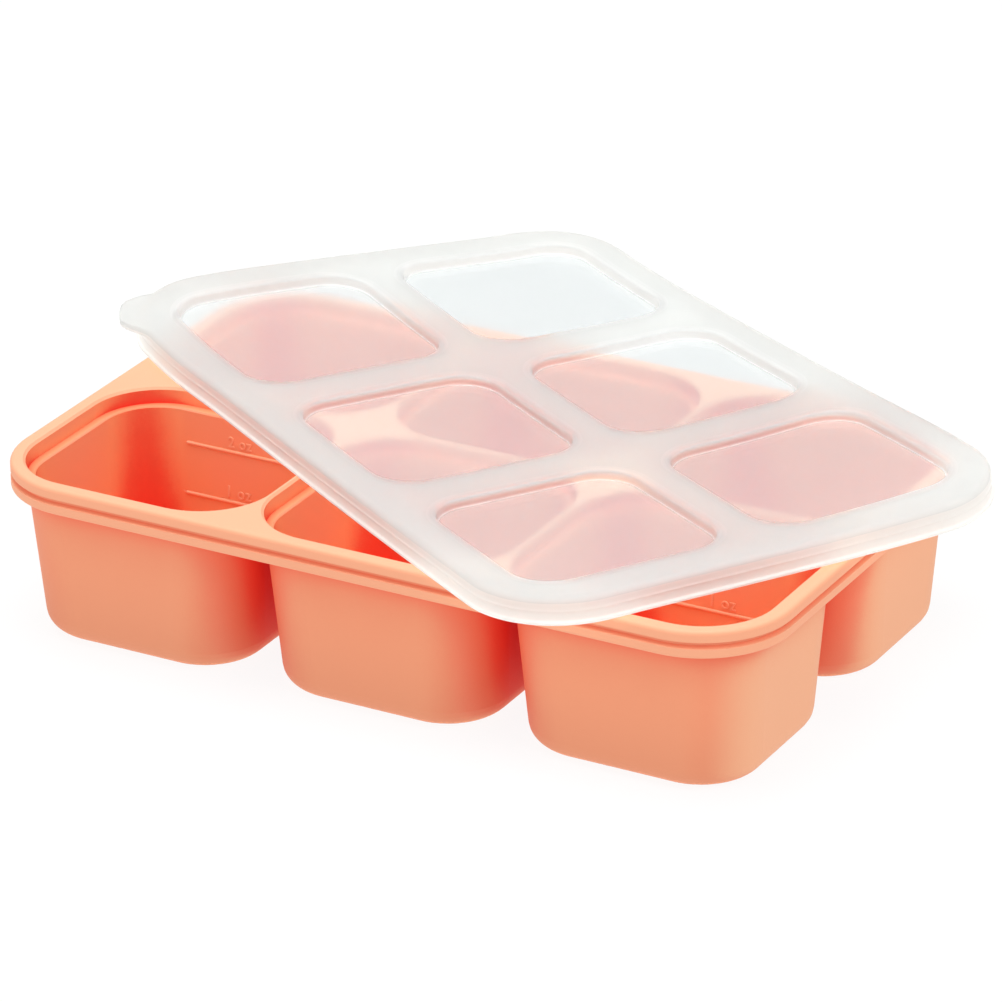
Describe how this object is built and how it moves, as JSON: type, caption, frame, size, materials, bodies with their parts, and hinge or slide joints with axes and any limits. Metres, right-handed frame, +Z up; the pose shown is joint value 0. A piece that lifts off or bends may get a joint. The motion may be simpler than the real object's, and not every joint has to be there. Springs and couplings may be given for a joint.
{
  "type": "baby food freezer tray",
  "caption": "Soft moulded freezer tray with a grid of drafted rounded cups hanging from a beaded rim, and a frosted flexible lid laid askew on it.",
  "frame": {"origin": "middle of the tray, on the surface that its cups stand on", "axes": "+X along the long side of the tray, +Y across it to the long side with the fill lines, +Z up"},
  "size_m": [0.2093, 0.186, 0.0446],
  "materials": {
    "tray_silicone": "matt peach-orange moulded silicone",
    "lid_silicone": "frosted translucent white moulded silicone"
  },
  "bodies": {
    "tray": {"tray": "tray_silicone"},
    "lid": {"lid": "lid_silicone"}
  },
  "joints": [
    {"name": "lid_lift", "type": "slide", "parent": "tray", "child": "lid", "axis": [0, 0, 1], "range_m": [0, 0.12]}
  ]
}
